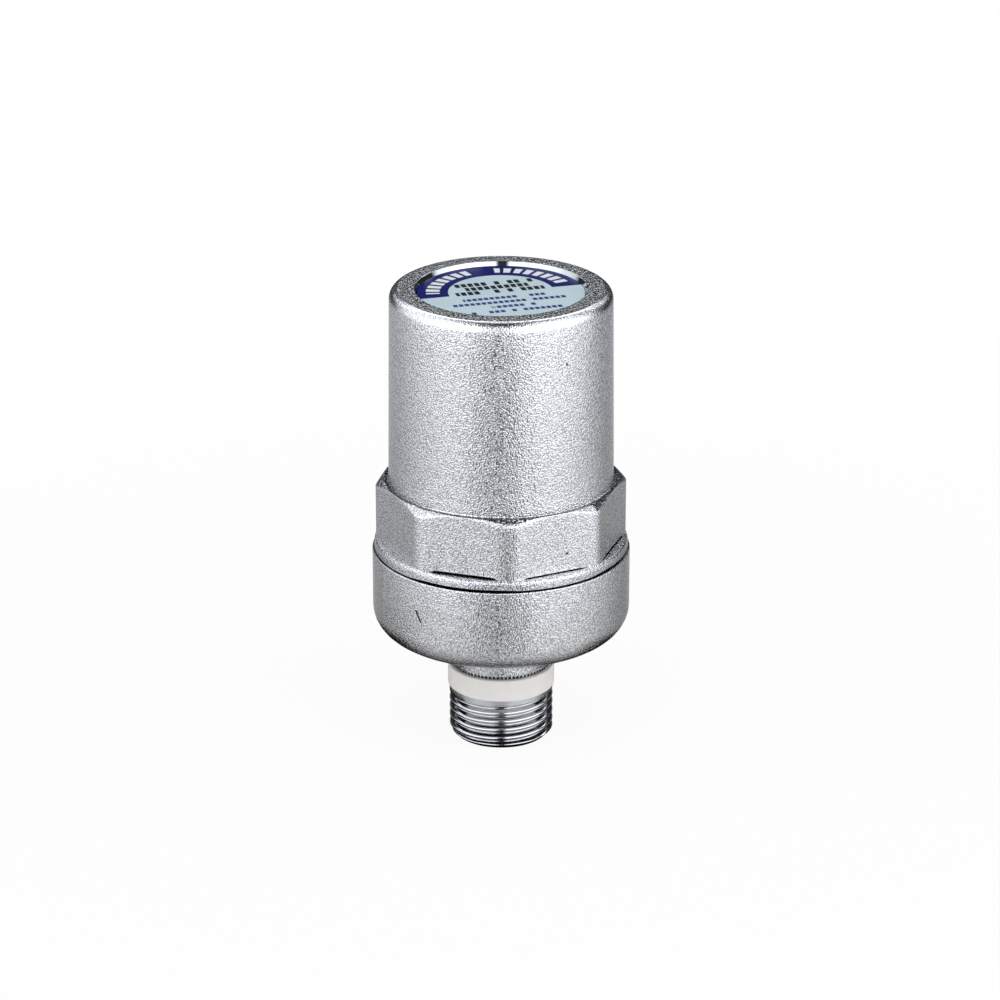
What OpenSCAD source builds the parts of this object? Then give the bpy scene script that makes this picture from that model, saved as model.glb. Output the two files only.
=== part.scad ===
// Piston water hammer arrestor with a G 1/2 male connection.
// The axis is Z and the free end of the connection thread stands on z = 0.

/* [Connection] */
// Outside diameter of the male connection thread
thread_d = 20.955; // [18:0.005:26]
// Length of the thread below the sealing ring
thread_len = 10.8; // [8:0.1:16]
// Chamfer at the free end of the thread
thread_chamfer = 1.2; // [0.6:0.1:1.8]
// Diameter of the water way through the connection
inlet_d = 13; // [8:0.5:14]
// Height of the sealing ring
seal_h = 4.5; // [3:0.1:6]
// How far the sealing ring stands proud of the thread, on the radius
seal_proud = 0.3; // [0:0.05:1]
// Depth of the relief that carries the sealing ring, on the radius
relief_depth = 1.3; // [0.8:0.05:1.8]

/* [Lower body] */
// How far the neck stands back from the thread, on the radius
neck_inset = 0.4; // [0:0.05:0.7]
// Height of the neck
neck_h = 6.4; // [4:0.1:10]
// Height of the lower body above the neck
cup_h = 18.9; // [16:0.1:24]
// Wall of the lower body round its screwed socket
cup_wall = 3.5; // [3.2:0.1:6]
// Rise of the underside from the neck outwards, in degrees
cup_slope = 6; // [0:1:12]
// Radius round the bottom edge of the lower body
cup_edge_r = 5.5; // [4:0.5:8]
// Depth of the chamber under the screwed spigot, down to the piston's rest
chamber_depth = 3.4; // [2:0.1:4.2]

/* [Joint between the bodies] */
// Wall of the screwed spigot on the upper body
spigot_wall = 3.2; // [2.6:0.1:4]
// Length of the screwed spigot
spigot_len = 9.8; // [7.8:0.1:11.8]
// Open line that shows between the two bodies
joint_gap = 0.4; // [0.2:0.1:0.8]
// Section diameter of the ring that seals the joint
joint_ring_d = 1.6; // [1.2:0.1:2]

/* [Upper body] */
// Wall of the bell where it meets the octagon
bell_base_wall = 3.45; // [3:0.05:5]
// Wall of the bell at its top, after the forging draft
bell_top_wall = 3; // [2.4:0.05:3.4]
// Height of the bell above the octagon
bell_h = 39.5; // [32:0.1:48]
// Radius round the top edge of the bell
bell_edge_r = 2; // [0.8:0.1:3]
// Thickness of the roof over the cylinder
roof_t = 6; // [4.5:0.1:8]
// Height of the octagon
octagon_h = 12.3; // [9:0.1:15]
// Width of the ledge between the bell and the middle of a flat
ledge_w = 0.95; // [0.7:0.05:1.2]
// Radius of the octagon's upright corners
corner_r = 3; // [1:0.5:6]
// Drop of the octagon's corners below its top face
corner_drop = 0.8; // [0.4:0.1:1.4]
// How far the round skirt stands back from the lower body, on the radius
skirt_inset = 0.4; // [0.2:0.1:0.6]
// Height of the round skirt
skirt_h = 1.9; // [1.5:0.1:2.6]
// Radius round the top edge of the skirt
skirt_round = 1.7; // [0.8:0.1:2]

/* [Label] */
// Width of the rim round the label recess
rim_w = 5.25; // [4:0.05:8]
// Depth of the label recess
recess_depth = 1.05; // [0.5:0.05:1.4]
// Thickness of the label
label_t = 0.25; // [0.15:0.05:0.4]
// Bare ring of recess floor round the label
label_margin = 0.3; // [0.1:0.1:1]

/* [Piston] */
// Diameter of the cylinder bore that the piston slides in
bore_d = 38; // [34:0.1:46]
// Height of the piston
piston_h = 24; // [20:0.1:28]
// Thickness of the piston's crown, which carries the spring
crown_t = 5; // [4:0.1:6]
// Thickness of the piston's skirt
piston_wall = 4.4; // [3.6:0.1:5.2]
// Section diameter of the two piston rings
piston_ring_d = 2.2; // [1.8:0.1:2.6]
// Height of the lower piston ring above the piston's foot
lower_ring_up = 8; // [6.6:0.1:10]
// Depth of the upper piston ring below the piston's head
upper_ring_down = 5.5; // [4:0.1:7]
// Width of the ring that the piston's foot rests on
foot_land = 7.9; // [6:0.1:9.5]
// Depth of the recess in the piston's foot
foot_recess = 1.5; // [0.5:0.1:2]

/* [Spring] */
// Wire diameter of the spring
wire_d = 3; // [2.4:0.1:3.6]
// Coils between the two closed ends
active_coils = 6.5; // [4:0.5:8]
// Height of the bosses that centre the spring
boss_h = 3; // [2:0.1:5]

/* [Clearances] */
// Running clearance of the piston in its cylinder, on the radius
piston_play = 0.1; // [0.05:0.01:0.2]
// Clearance of the piston rings in the cylinder, on the radius
ring_play = 0.03; // [0.02:0.01:0.06]
// Clearance of the piston in the chamber below the cylinder, on the radius
chamber_play = 0.5; // [0.3:0.1:0.9]
// Clearance of fixed pieces in their seats, on the radius
seat_play = 0.05; // [0.02:0.01:0.1]
// Clearance between the plain cylinders of the screwed joint, on the radius
screw_play = 0.1; // [0.05:0.01:0.15]
// Clearance of the spring in the piston's well, on the radius
well_play = 1; // [0.6:0.1:1.6]
// Clearance of the spring round its two bosses, on the radius
boss_play = 0.4; // [0.2:0.05:0.6]

/* [Edges] */
// Chamfer that breaks small edges
small_chamfer = 0.5; // [0.2:0.1:0.7]
// Chamfer that leads one piece into another
lead_chamfer = 0.8; // [0.4:0.1:1]
// Fillet between the neck and the lower body
neck_fillet_r = 1.2; // [0.4:0.1:2]
// Fillet where the bell stands on the octagon
ledge_fillet_r = 0.5; // [0.2:0.1:0.6]
// Round in the upper corner of the cylinder
ceiling_round = 2.5; // [1:0.1:4]

/* [Hidden] */
$fn = 96;

// How far a cutting shape runs past the face that it cuts
cut_over = 1;

// Radii of the connection
thread_r = thread_d / 2;
inlet_r = inlet_d / 2;
seal_r = thread_r + seal_proud;
relief_r = thread_r - relief_depth;
neck_r = thread_r - neck_inset;

// Radii of the two bodies, from the cylinder bore outwards
bore_r = bore_d / 2;
spigot_r = bore_r + spigot_wall;
socket_r = spigot_r + screw_play;
cup_r = socket_r + cup_wall;
skirt_r = cup_r - skirt_inset;
bell_base_r = bore_r + bell_base_wall;
bell_top_r = bore_r + bell_top_wall;
flat_r = bell_base_r + ledge_w;
recess_r = bell_top_r - rim_w;

// Radii of the piston and the spring, from the cylinder bore inwards
piston_r = bore_r - piston_play;
chamber_r = piston_r + chamber_play;
foot_r = piston_r - foot_land;
well_r = piston_r - piston_wall;
coil_r = well_r - well_play - wire_d / 2;
boss_r = coil_r - wire_d / 2 - boss_play;

// Heights, stacked from the free end of the thread
neck_z = thread_len + seal_h;
cup_z = neck_z + neck_h;
rim_z = cup_z + cup_h;
skirt_z = rim_z + joint_gap;
ledge_z = skirt_z + skirt_h;
octagon_z = ledge_z + octagon_h;
top_z = octagon_z + bell_h;
ceiling_z = top_z - roof_t;
spigot_z = skirt_z - spigot_len;
floor_z = spigot_z - chamber_depth;
crown_z = floor_z + crown_t;

// Octagon: its upright corners are arcs round eight centres
octagon_sides = 8;
half_side = 180 / octagon_sides;
corner_centre_r = (flat_r - corner_r) / cos(half_side);
octagon_reach = corner_centre_r + corner_r;

// Grooves for the two piston rings and for the ring that seals the screwed joint
upper_ring_up = piston_h - upper_ring_down;
groove_r = bore_r - ring_play - piston_ring_d;
groove_h = piston_ring_d * 1.2;
joint_groove_r = socket_r - seat_play - joint_ring_d;
joint_groove_h = joint_ring_d * 1.3;
joint_groove_z = spigot_z + lead_chamfer + small_chamfer;

// Section of a ring with chamfered outer edges, between two radii and two heights
module ring_section(r_in, r_out, z_low, z_high, chamfer) {
    polygon([
        [r_in, z_low], [r_out - chamfer, z_low], [r_out, z_low + chamfer],
        [r_out, z_high - chamfer], [r_out - chamfer, z_high], [r_in, z_high]
    ]);
}

// Sealing ring of round section that lies against an outer wall
module o_ring(outer_r, d, z) {
    rotate_extrude()
        translate([outer_r - d / 2, z])
            circle(d = d);
}

// Lower body

// Outside of the cup: sloping underside, round bottom edge, straight wall
module cup_outline() {
    centre_x = cup_r - cup_edge_r;
    centre_z = cup_z + (centre_x - neck_r) * tan(cup_slope) + cup_edge_r / cos(cup_slope);
    polygon([
        [0, cup_z], [neck_r, cup_z],
        [centre_x + cup_edge_r * sin(cup_slope), centre_z - cup_edge_r * cos(cup_slope)],
        [cup_r, centre_z], [cup_r, rim_z - small_chamfer], [cup_r - small_chamfer, rim_z], [0, rim_z]
    ]);
    translate([centre_x, centre_z]) circle(cup_edge_r);
}

// Fillet between the neck and the sloping underside of the cup
module neck_fillet() {
    centre_x = neck_r + neck_fillet_r;
    centre_z = cup_z + neck_fillet_r * tan(cup_slope) - neck_fillet_r / cos(cup_slope);
    difference() {
        polygon([
            [neck_r - cut_over, centre_z], [neck_r, centre_z],
            [centre_x - neck_fillet_r * sin(cup_slope), centre_z + neck_fillet_r * cos(cup_slope)],
            [neck_r - cut_over, cup_z + cut_over]
        ]);
        translate([centre_x, centre_z]) circle(neck_fillet_r);
    }
}

// Connection end: chamfered thread stub, relief for the sealing ring, neck
module connection_outline() {
    polygon([
        [0, 0], [thread_r - thread_chamfer, 0], [thread_r, thread_chamfer],
        [thread_r, thread_len], [relief_r, thread_len], [relief_r, neck_z],
        [neck_r, neck_z], [neck_r, cup_z + small_chamfer], [0, cup_z + small_chamfer]
    ]);
}

// Water way, dished mouth under the piston, piston chamber and screwed socket
module lower_body_hollow() {
    polygon([
        [0, -cut_over], [inlet_r + small_chamfer + cut_over, -cut_over], [inlet_r, small_chamfer],
        [inlet_r, cup_z], [foot_r, floor_z], [chamber_r, floor_z],
        [chamber_r, spigot_z], [socket_r, spigot_z], [socket_r, rim_z - lead_chamfer],
        [socket_r + lead_chamfer + cut_over, rim_z + cut_over], [0, rim_z + cut_over]
    ]);
}

module lower_body() {
    color("silver")
        rotate_extrude()
            difference() {
                union() {
                    connection_outline();
                    cup_outline();
                    neck_fillet();
                }
                lower_body_hollow();
            }
}

// Upper body

// Bell with forging draft, a round top edge and a fillet at its foot
module bell_outline() {
    draft = atan((bell_base_r - bell_top_r) / bell_h);
    edge_x = bell_top_r + bell_edge_r * tan(draft) - bell_edge_r / cos(draft);
    edge_z = top_z - bell_edge_r;
    polygon([
        [0, ledge_z], [bell_base_r, ledge_z], [bell_base_r, octagon_z],
        [edge_x + bell_edge_r * cos(draft), edge_z + bell_edge_r * sin(draft)],
        [edge_x, top_z], [0, top_z]
    ]);
    translate([edge_x, edge_z]) circle(bell_edge_r);

    foot_x = bell_base_r - ledge_fillet_r * tan(draft) + ledge_fillet_r / cos(draft);
    foot_z = octagon_z + ledge_fillet_r;
    difference() {
        polygon([
            [foot_x, octagon_z],
            [foot_x - ledge_fillet_r * cos(draft), foot_z - ledge_fillet_r * sin(draft)],
            [bell_top_r - cut_over, foot_z], [bell_top_r - cut_over, octagon_z]
        ]);
        translate([foot_x, foot_z]) circle(ledge_fillet_r);
    }
}

// Skirt with its round top edge, which its height limits
module skirt_outline() {
    round_r = min(skirt_round, skirt_h);
    difference() {
        translate([0, skirt_z]) square([skirt_r, skirt_h]);
        translate([skirt_r - round_r, ledge_z - round_r])
            difference() {
                square(round_r + cut_over);
                circle(round_r);
            }
    }
}

// Screwed spigot with a groove for the ring that seals the joint
module spigot_outline() {
    difference() {
        polygon([
            [0, spigot_z], [spigot_r - lead_chamfer, spigot_z], [spigot_r, spigot_z + lead_chamfer],
            [spigot_r, skirt_z], [0, skirt_z]
        ]);
        translate([joint_groove_r, joint_groove_z]) square([joint_ring_d + cut_over, joint_groove_h]);
    }
}

// Plan of the octagon with its round corners
module octagon_plan() {
    corners = [for (k = [0 : octagon_sides - 1]) 2 * half_side * k];
    polygon([
        for (a = corners, turn = [a - half_side, a + half_side])
            corner_centre_r * [cos(a), sin(a)] + corner_r * [cos(turn), sin(turn)]
    ]);
    for (a = corners)
        translate(corner_centre_r * [cos(a), sin(a)])
            circle(corner_r);
}

// Eight flats for the assembly wrench, with corners that drop away at the top
module octagon_collar() {
    intersection() {
        translate([0, 0, skirt_z])
            linear_extrude(octagon_z - skirt_z)
                octagon_plan();
        rotate_extrude()
            polygon([
                [0, skirt_z], [octagon_reach + cut_over, skirt_z],
                [octagon_reach + cut_over, octagon_z - corner_drop],
                [octagon_reach, octagon_z - corner_drop], [flat_r, octagon_z], [0, octagon_z]
            ]);
    }
}

// Cylinder bore with a lead-in at its mouth, a round upper corner and the boss for the spring
module cylinder_hollow() {
    round_x = bore_r - ceiling_round;
    round_z = ceiling_z - ceiling_round;
    difference() {
        union() {
            polygon([
                [0, spigot_z - cut_over], [bore_r + lead_chamfer + cut_over, spigot_z - cut_over],
                [bore_r, spigot_z + lead_chamfer], [bore_r, round_z], [round_x, ceiling_z], [0, ceiling_z]
            ]);
            translate([round_x, round_z]) circle(ceiling_round);
        }
        translate([0, ceiling_z - boss_h]) square([boss_r, boss_h + cut_over]);
    }
}

module upper_body() {
    color("silver")
        difference() {
            union() {
                rotate_extrude() {
                    bell_outline();
                    skirt_outline();
                    spigot_outline();
                }
                octagon_collar();
            }
            rotate_extrude() {
                cylinder_hollow();
                translate([0, top_z - recess_depth]) square([recess_r, recess_depth + cut_over]);
            }
        }
}

// Small fixed pieces

module joint_o_ring() {
    color("black")
        o_ring(socket_r - seat_play, joint_ring_d, joint_groove_z + joint_groove_h / 2);
}

module label() {
    color("lightsteelblue")
        translate([0, 0, top_z - recess_depth])
            cylinder(r = recess_r - label_margin, h = label_t);
}

module thread_seal() {
    color("white")
        rotate_extrude()
            ring_section(relief_r + seat_play, seal_r, thread_len, neck_z, small_chamfer / 2);
}

// Piston with its two rings

module piston() {
    color("dimgray")
        rotate_extrude()
            difference() {
                ring_section(0, piston_r, floor_z, floor_z + piston_h, lead_chamfer);
                for (up = [lower_ring_up, upper_ring_up])
                    translate([groove_r, floor_z + up - groove_h / 2])
                        square([piston_ring_d + cut_over, groove_h]);
                difference() {
                    translate([0, crown_z]) square([well_r, piston_h]);
                    square([boss_r, crown_z + boss_h]);
                }
                translate([0, floor_z - cut_over]) square([foot_r, foot_recess + cut_over]);
            }
}

module piston_o_ring(up) {
    color("black")
        o_ring(bore_r - ring_play, piston_ring_d, floor_z + up);
}

// Compression spring with one closed and ground coil at each end
rings_per_coil = 24;
wire_sides = 10;
closed_coils = 1;
closed_rise = wire_d * 1.05;
ground_share = 0.3;
spring_coils = active_coils + 2 * closed_coils;
spring_rings = round(spring_coils * rings_per_coil);
spring_low = crown_z + ground_share * wire_d;
spring_high = ceiling_z - ground_share * wire_d;
active_rise = (spring_high - spring_low - 2 * closed_coils * closed_rise) / active_coils;

// Height of the wire's centre after so many coils
function wire_z(turn) =
    turn < closed_coils ? spring_low + turn * closed_rise
    : turn > spring_coils - closed_coils ? spring_high - (spring_coils - turn) * closed_rise
    : spring_low + closed_coils * closed_rise + (turn - closed_coils) * active_rise;

// One corner of the wire's section, held between the two ground end planes
function wire_point(turn, side) =
    let (around = 360 * turn, across = 360 * side / wire_sides,
         r = coil_r + wire_d / 2 * cos(across), z = wire_z(turn) + wire_d / 2 * sin(across))
    [r * cos(around), r * sin(around), min(max(z, crown_z), ceiling_z)];

module spring() {
    points = [
        for (ring = [0 : spring_rings], side = [0 : wire_sides - 1])
            wire_point(ring * spring_coils / spring_rings, side)
    ];
    last = spring_rings * wire_sides;
    skin = [
        for (ring = [0 : spring_rings - 1], side = [0 : wire_sides - 1])
            let (a = ring * wire_sides, next = (side + 1) % wire_sides)
            [a + side, a + wire_sides + side, a + wire_sides + next, a + next]
    ];
    first_cap = [for (side = [0 : wire_sides - 1]) side];
    last_cap = [for (side = [wire_sides - 1 : -1 : 0]) last + side];
    color("lightgray")
        polyhedron(points, concat(skin, [first_cap, last_cap]), convexity = 10);
}

upper_body();
lower_body();
joint_o_ring();
label();
thread_seal();
piston();
piston_o_ring(lower_ring_up);  // piston_o_ring_lower
piston_o_ring(upper_ring_up);  // piston_o_ring_upper
spring();
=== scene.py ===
import math

import bmesh
import bpy
from mathutils import Matrix, Vector


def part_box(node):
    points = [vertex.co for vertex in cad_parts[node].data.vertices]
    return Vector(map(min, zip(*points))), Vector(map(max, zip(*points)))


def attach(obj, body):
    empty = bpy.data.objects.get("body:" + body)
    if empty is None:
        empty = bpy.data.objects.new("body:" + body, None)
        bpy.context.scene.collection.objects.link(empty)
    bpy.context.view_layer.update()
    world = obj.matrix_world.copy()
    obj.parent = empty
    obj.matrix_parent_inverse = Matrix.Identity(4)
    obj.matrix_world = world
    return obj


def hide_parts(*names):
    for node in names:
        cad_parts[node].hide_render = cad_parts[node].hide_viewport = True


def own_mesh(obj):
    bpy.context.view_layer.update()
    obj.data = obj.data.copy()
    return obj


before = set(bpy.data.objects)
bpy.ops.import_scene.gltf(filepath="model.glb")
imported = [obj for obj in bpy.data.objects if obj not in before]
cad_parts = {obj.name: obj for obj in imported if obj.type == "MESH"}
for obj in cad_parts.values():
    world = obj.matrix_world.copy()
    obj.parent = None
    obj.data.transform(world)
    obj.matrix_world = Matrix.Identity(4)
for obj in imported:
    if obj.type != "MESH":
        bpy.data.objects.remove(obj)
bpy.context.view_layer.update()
mm = 0.001  # outlines are written in millimetres, Blender works in metres
slack = 0.01  # room for rounding when two places are compared, in millimetres
margin = 0.05  # the same, where faces are picked by their middles
octant = math.pi / 4  # from one corner of the octagon to the next


# helpers for turned pieces

lathe = {
    "roundStep": 11, "roundLeast": 3,  # degrees that one segment of a round turns, and the fewest segments
    "weld": 0.0005,  # vertices nearer than this become one
    "sharpAngle": 38,  # edges that turn further than this stay sharp
}


def nodeSpan(node):
    low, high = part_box(node)
    return high.x / mm, low.z / mm, high.z / mm  # outer radius, foot and head


def drawOutline(bm, corners, closed):
    # corners are (radius, height, round), and a round of 0 stays sharp
    verts = [bm.verts.new((r * mm, 0, z * mm)) for r, z, _ in corners]
    pairs = list(zip(verts, verts[1:])) + ([(verts[-1], verts[0])] if closed else [])
    for pair in pairs:
        bm.edges.new(pair)
    for i, (r, z, roundR) in enumerate(corners):
        if not roundR:
            continue
        here = Vector((r, z))
        before = Vector(corners[i - 1][:2]) - here
        after = Vector(corners[(i + 1) % len(corners)][:2]) - here
        turn = math.pi - before.angle(after)
        segments = max(lathe["roundLeast"], round(math.degrees(turn) / lathe["roundStep"]))
        bmesh.ops.bevel(
            bm, geom=[verts[i]], affect="VERTICES", offset_type="ABSOLUTE",
            offset=roundR * math.tan(turn / 2) * mm, segments=segments, profile=0.5, material=-1,
        )


def cutRows(bm, chosen, cuts):
    # chosen tells by an edge's middle, in millimetres, whether it gets more rows
    picked = []
    for edge in bm.edges:
        middle = (edge.verts[0].co + edge.verts[1].co) / 2 / mm
        if chosen(middle.x, middle.z):
            picked.append(edge)
    bmesh.ops.subdivide_edges(bm, edges=picked, cuts=cuts)


def turnOnLathe(bm, steps):
    bmesh.ops.spin(
        bm, geom=bm.verts[:] + bm.edges[:], cent=(0, 0, 0), axis=(0, 0, 1),
        angle=2 * math.pi, steps=steps, use_merge=True, use_duplicate=False,
    )
    bmesh.ops.remove_doubles(bm, verts=bm.verts[:], dist=lathe["weld"] * mm)
    bmesh.ops.recalc_face_normals(bm, faces=bm.faces[:])


def drawSection(bm, centreR, centreZ, radius, sides):
    # a round section standing on the XZ plane, for rings and wire
    place = Matrix.Translation(Vector((centreR, 0, centreZ)) * mm)
    bmesh.ops.create_circle(
        bm, cap_ends=False, segments=sides, radius=radius * mm,
        matrix=place @ Matrix.Rotation(math.pi / 2, 4, "X"),
    )


def polar(vert):
    return math.hypot(vert.co.x, vert.co.y) / mm, vert.co.z / mm, math.atan2(vert.co.y, vert.co.x)


def setPolar(vert, r, z, angle):
    vert.co = Vector((r * math.cos(angle), r * math.sin(angle), z)) * mm


def addObject(name, data):
    thing = bpy.data.objects.new(name, data)
    bpy.context.scene.collection.objects.link(thing)
    return thing


def addMesh(bm, name, materials):
    mesh = bpy.data.meshes.new(name)
    bm.to_mesh(mesh)
    bm.free()
    for material in materials:
        mesh.materials.append(material)
    return addObject(name, mesh)


def keepPiece(bm, name, body, node, materials):
    for face in bm.faces:
        face.smooth = True
    for edge in bm.edges:
        edge.smooth = edge.calc_face_angle(0) < math.radians(lathe["sharpAngle"])
    piece = addMesh(bm, name, materials)
    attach(piece, body)
    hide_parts(node)
    print("piece:", name, len(piece.data.polygons), "faces")
    return piece


# shader maths

class Wire:
    def __init__(self, tree, socket=None):
        self.tree = tree
        self.socket = socket

    def add(self, kind, settings=None, inputs=None, out=0):
        node = self.tree.nodes.new("ShaderNode" + kind)
        for key, value in (settings or {}).items():
            setattr(node, key, value)
        for key, value in (inputs or {}).items():
            if isinstance(value, Wire):
                self.tree.links.new(value.socket, node.inputs[key])
            else:
                node.inputs[key].default_value = value
        return Wire(self.tree, node.outputs[out])

    def calc(self, operation, a, b=0.0, clamp=False):
        return self.add("Math", {"operation": operation, "use_clamp": clamp}, {0: a, 1: b})

    def split(self):
        node = self.add("SeparateXYZ", {}, {"Vector": self}).socket.node
        return [Wire(self.tree, node.outputs[i]) for i in range(3)]

    def __add__(self, other):
        return self.calc("ADD", self, other)

    def __radd__(self, other):
        return self.calc("ADD", other, self)

    def __sub__(self, other):
        return self.calc("SUBTRACT", self, other)

    def __rsub__(self, other):
        return self.calc("SUBTRACT", other, self)

    def __mul__(self, other):
        return self.calc("MULTIPLY", self, other)

    def __rmul__(self, other):
        return self.calc("MULTIPLY", other, self)

    def __truediv__(self, other):
        return self.calc("DIVIDE", self, other)

    def __abs__(self):
        return self.calc("ABSOLUTE", self)

    def clip(self):
        return self.calc("ADD", self, 0.0, clamp=True)

    def over(self, edge, soft):
        # 0 below the edge, 1 above it, with a soft step
        return self.calc("ADD", (self - edge) / soft, 0.5, clamp=True)

    def within(self, centre, half, soft):
        return self.calc("ADD", (half - abs(self - centre)) / soft, 0.5, clamp=True)

    def tint(self, first, second):
        # mixes two colours by this value
        return self.add("Mix", {"data_type": "RGBA"}, {0: self, 6: first, 7: second}, 2)

    def scaled(self, factor):
        return self.add("VectorMath", {"operation": "SCALE"}, {0: self, "Scale": factor})


class Finish:
    # a new material with its shader, and its Object coordinates in millimetres
    def __init__(self, name, settings):
        self.material = bpy.data.materials.new(name)
        self.material.use_nodes = True
        tree = self.material.node_tree
        self.shader = tree.nodes["Principled BSDF"]
        for key, value in settings.items():
            self.shader.inputs[key].default_value = value
        self.wire = Wire(tree)
        self.place = self.wire.add("TexCoord", out="Object")

    def mapped(self, scale, turn=0.0):
        return self.wire.add(
            "Mapping", {}, {"Vector": self.place, "Scale": scale, "Rotation": (0, 0, math.radians(turn))}
        )

    def noise(self, size, detail, rough, stretch=(1, 1, 1)):
        # size is the width of one blotch in millimetres
        place = self.mapped([s / (size * mm) for s in stretch])
        return self.wire.add(
            "TexNoise", {}, {"Vector": place, "Scale": 1.0, "Detail": detail, "Roughness": rough}
        )

    def cells(self, size):
        place = self.mapped([1 / (size * mm)] * 3)
        return self.wire.add("TexVoronoi", {"feature": "SMOOTH_F1"}, {"Vector": place, "Scale": 1.0})

    def axes(self, turn=0.0):
        return self.mapped([1 / mm] * 3, turn).split()

    def feed(self, name, value):
        self.wire.tree.links.new(value.socket, self.shader.inputs[name])

    def feedRough(self, span, value):
        # span is the least roughness and how much the value adds
        least, more = span
        self.feed("Roughness", least + value * more)

    def bump(self, height, depth):
        # depth is how deep the height runs, in millimetres
        self.feed("Normal", self.wire.add(
            "Bump", {}, {"Height": height, "Distance": depth * mm, "Strength": 1.0}
        ))


# materials: a noise is (size, detail, roughness, stretch), a step is (edge, softness)
# and a band is (centre, half width, softness)

blasted = {
    "pit": (0.42, 0.424, 0.432, 1), "dull": (0.615, 0.622, 0.637, 1), "bright": (0.65, 0.657, 0.673, 1),
    "peak": (0.82, 0.824, 0.833, 1), "grain": (0.29, 0.0, 0.5), "pitTo": (0.43, 0.14),
    "peakFrom": (0.585, 0.14), "cells": 0.435, "cellShare": 0.2, "depth": 0.152,
    "tone": (7.0, 3.0, 0.6), "brightFrom": (0.5, 0.5), "rough": (0.19, 0.06),
    # a dotted line of painted shade where the neck meets the seal
    "neckFoot": (15.95, 0.15), "neckDots": 79, "dotFrom": (0.16, 0.16), "paintedShade": (0.03, 0.03, 0.032, 1),
    "beadZ": (41.7, 0.95, 0.3), "beadR": (24.6, 0.2), "beadShade": 0.12,  # the skirt's bead is darkened as painted shade
    # the round below the rim is smoother than the wall and tinted pale as a painted highlight, and the rim's
    # outer edge is worn smoother, with a painted highlight line in its paler colour
    "edgeZ": (92.9, 0.8), "edgeHighlight": 0.25, "edgeSmooth": 0.45,
    "wornZ": (94.6, 0.08, 0.04), "wornR": (19.6, 0.2), "wornLineHighlight": 0.75, "wornSmooth": 0.35,
    # the pale colour of both painted highlights
    "worn": (0.93, 0.932, 0.938, 1),
    # a short scratch and two dark pits, by their place round the axis and their height
    "mark": (0.03, 0.03, 0.035, 1), "markSoft": 0.12, "markEndSoft": 0.2, "markDepth": 1.5,
    "marks": [
        {"angle": -133.5, "r": 25.8, "z": 33.3, "lean": -0.55, "wide": 0.26, "tall": 1.2},
        {"angle": -61.0, "r": 23.6, "z": 46.6, "lean": 0.0, "wide": 0.22, "tall": 0.22},
        {"angle": -59.3, "r": 22.1, "z": 85.2, "lean": 0.0, "wide": 0.18, "tall": 0.2},
    ],
}


def blastedChrome(name):
    finish = Finish(name, {"Metallic": 1.0})
    wire = finish.wire
    grain = finish.noise(*blasted["grain"])
    tone = finish.noise(*blasted["tone"])
    height = grain * (1 - blasted["cellShare"]) + finish.cells(blasted["cells"]) * blasted["cellShare"]
    colour = tone.over(*blasted["brightFrom"]).tint(blasted["dull"], blasted["bright"])
    colour = grain.over(*blasted["pitTo"]).tint(blasted["pit"], colour)
    colour = grain.over(*blasted["peakFrom"]).tint(colour, blasted["peak"])
    x, y, z = finish.axes()
    around = wire.calc("ARCTAN2", y, x)
    radius = wire.calc("SQRT", x * x + y * y)
    # painted shade: the skirt's bead below the flats is darkened
    bead = z.within(*blasted["beadZ"]) * radius.over(*blasted["beadR"])
    colour = colour.scaled(1 - bead * blasted["beadShade"])
    # painted shade: dark dots round the neck's foot, where the seal meets it
    dots = wire.calc("PINGPONG", around * (blasted["neckDots"] / (2 * math.pi)), 0.5)
    neckShade = (1 - z.over(*blasted["neckFoot"])) * dots.over(*blasted["dotFrom"])
    colour = neckShade.tint(colour, blasted["paintedShade"])
    # painted highlight: the round below the rim and the rim's worn outer edge are tinted pale, and their
    # bump is smoothed
    edge = z.over(*blasted["edgeZ"])
    worn = z.within(*blasted["wornZ"]) * radius.over(*blasted["wornR"])
    colour = (edge * blasted["edgeHighlight"] + worn * blasted["wornLineHighlight"]).tint(colour, blasted["worn"])
    height = height * (1 - edge * blasted["edgeSmooth"] - worn * blasted["wornSmooth"])
    for mark in blasted["marks"]:
        side = (around - math.radians(mark["angle"])) * mark["r"]
        lean = side - (z - mark["z"]) * mark["lean"]
        spot = lean.within(0.0, mark["wide"], blasted["markSoft"])
        spot = spot * z.within(mark["z"], mark["tall"], blasted["markEndSoft"])
        colour = spot.tint(colour, blasted["mark"])
        height = height - spot * blasted["markDepth"]
    finish.feed("Base Color", colour)
    finish.feedRough(blasted["rough"], tone)
    finish.bump(height, blasted["depth"])
    return finish.material


speckled = {
    "grain": (0.46, 1.0, 0.45), "pitTo": (0.44, 0.12), "wornFrom": (0.61, 0.10),
    "rough": (0.20, 0.08), "depth": 0.36,
    # colours of the pits, the skin and the worn peaks; the ledge and slot tones are dark as painted shade
    "ledge": ((0.035, 0.035, 0.037, 1), (0.09, 0.091, 0.094, 1), (0.60, 0.61, 0.63, 1)),
    "rim": ((0.10, 0.10, 0.103, 1), (0.55, 0.555, 0.565, 1), (0.92, 0.92, 0.925, 1)),
    "slot": ((0.012, 0.012, 0.013, 1), (0.03, 0.03, 0.032, 1), (0.09, 0.09, 0.094, 1)),
}


def speckledChrome(name, tones):
    # the rim round the label has a speckled skin; the ledge round the bell's foot and the slots are darkened
    # as painted shade
    pit, skin, worn = tones
    finish = Finish(name, {"Metallic": 1.0})
    grain = finish.noise(*speckled["grain"])
    colour = grain.over(*speckled["pitTo"]).tint(pit, skin)
    colour = grain.over(*speckled["wornFrom"]).tint(colour, worn)
    finish.feed("Base Color", colour)
    finish.feedRough(speckled["rough"], grain)
    finish.bump(grain, speckled["depth"])
    return finish.material


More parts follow.
